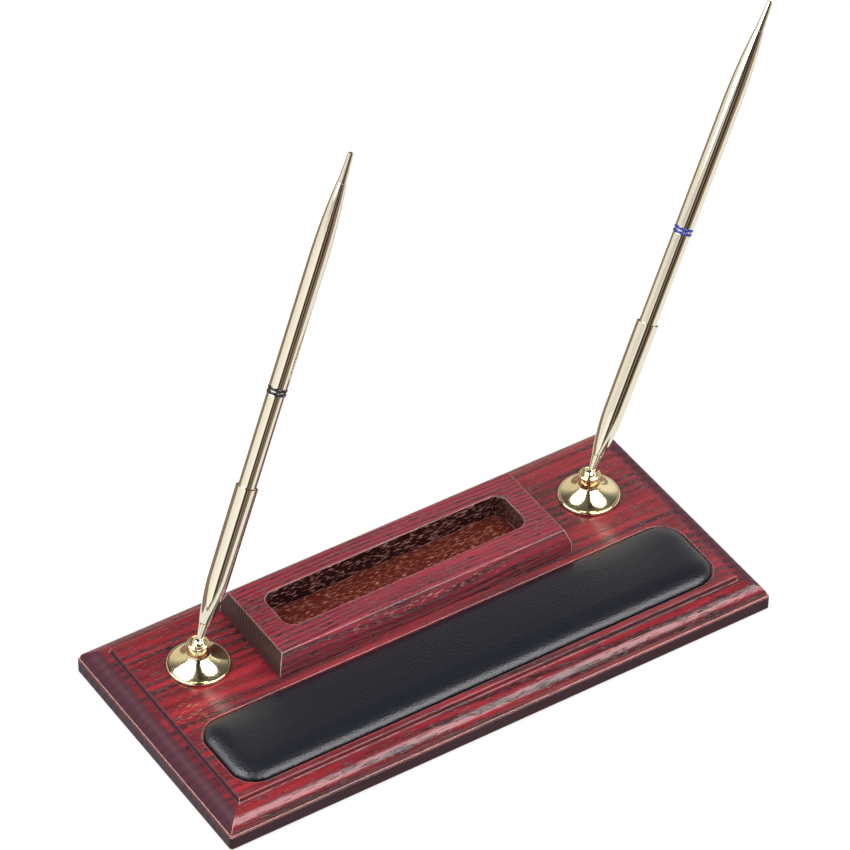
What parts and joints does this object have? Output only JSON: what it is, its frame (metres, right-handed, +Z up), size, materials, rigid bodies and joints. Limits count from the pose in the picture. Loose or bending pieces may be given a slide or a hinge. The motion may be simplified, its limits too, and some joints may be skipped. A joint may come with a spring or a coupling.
{
  "type": "desk pen stand with card slot",
  "caption": "Moulded wooden desk stand with a slotted block for cards or a phone, a padded leather strip, and slim pens standing in swivelling metal funnels.",
  "frame": {"origin": "middle of the felt's underside, on the desk", "axes": "+X along the board to the right, +Y to the back, +Z up"},
  "size_m": [0.3153, 0.1186, 0.1945],
  "materials": {
    "stained_wood": "open-grained wood stained mahogany red under a satin lacquer",
    "gold_plate": "pale gold plate on polished brass",
    "black_leather": "black fine-grained leather, semi-gloss",
    "pad_filling": "soft open-cell padding",
    "pad_backing": "thin pressed board",
    "felt": "black felt",
    "steel_screw": "zinc-plated steel",
    "spring_steel": "plain spring steel",
    "nylon": "natural nylon, matt",
    "black_enamel": "glossy black",
    "blue_enamel": "glossy blue",
    "refill_plastic": "translucent white plastic tube"
  },
  "bodies": {
    "stand": {"felt_sheet": "felt", "base_board": "stained_wood", "card_block": "stained_wood", "block_screws": "steel_screw", "holder_screws": "steel_screw", "holder_washers": "steel_screw", "pad_board": "pad_backing", "pad_foam": "pad_filling", "pad_leather": "black_leather", "left_holder_base": "gold_plate", "left_retaining_ring": "gold_plate", "left_spring_washer": "spring_steel", "right_holder_base": "gold_plate", "right_retaining_ring": "gold_plate", "right_spring_washer": "spring_steel"},
    "left_seat": {"left_ball_seat": "nylon"},
    "left_funnel": {"left_swivel_ball": "gold_plate", "left_funnel": "gold_plate"},
    "left_pen": {"left_pen_nose": "gold_plate", "left_pen_barrel": "gold_plate", "left_joint_bush": "gold_plate", "left_colour_rings": "black_enamel", "left_pen_tail": "gold_plate", "left_tail_tip": "gold_plate", "left_refill": "refill_plastic"},
    "right_seat": {"right_ball_seat": "nylon"},
    "right_funnel": {"right_swivel_ball": "gold_plate", "right_funnel": "gold_plate"},
    "right_pen": {"right_pen_nose": "gold_plate", "right_pen_barrel": "gold_plate", "right_joint_bush": "gold_plate", "right_colour_rings": "blue_enamel", "right_pen_tail": "gold_plate", "right_tail_tip": "gold_plate", "right_refill": "refill_plastic"}
  },
  "joints": [
    {"name": "left_swivel", "type": "hinge", "parent": "stand", "child": "left_seat", "pos_m": [-0.0876, 0.0216, 0.025], "axis": [0, 0, 1], "continuous": true},
    {"name": "left_tilt", "type": "hinge", "parent": "left_seat", "child": "left_funnel", "pos_m": [-0.0876, 0.0216, 0.025], "axis": [-0.3891, 0.9212, 0], "range_deg": [-30.8, 11.2]},
    {"name": "left_pull", "type": "slide", "parent": "left_funnel", "child": "left_pen", "axis": [0.4717, 0.1992, 0.859], "range_m": [0, 0.06]},
    {"name": "right_swivel", "type": "hinge", "parent": "stand", "child": "right_seat", "pos_m": [0.0892, 0.0216, 0.025], "axis": [0, 0, 1], "range_deg": [-130, 88]},
    {"name": "right_tilt", "type": "hinge", "parent": "right_seat", "child": "right_funnel", "pos_m": [0.0892, 0.0216, 0.025], "axis": [-0.3551, 0.9348, 0], "range_deg": [-34.6, 7.4]},
    {"name": "right_pull", "type": "slide", "parent": "right_funnel", "child": "right_pen", "axis": [0.5308, 0.2016, 0.8231], "range_m": [0, 0.06]}
  ]
}
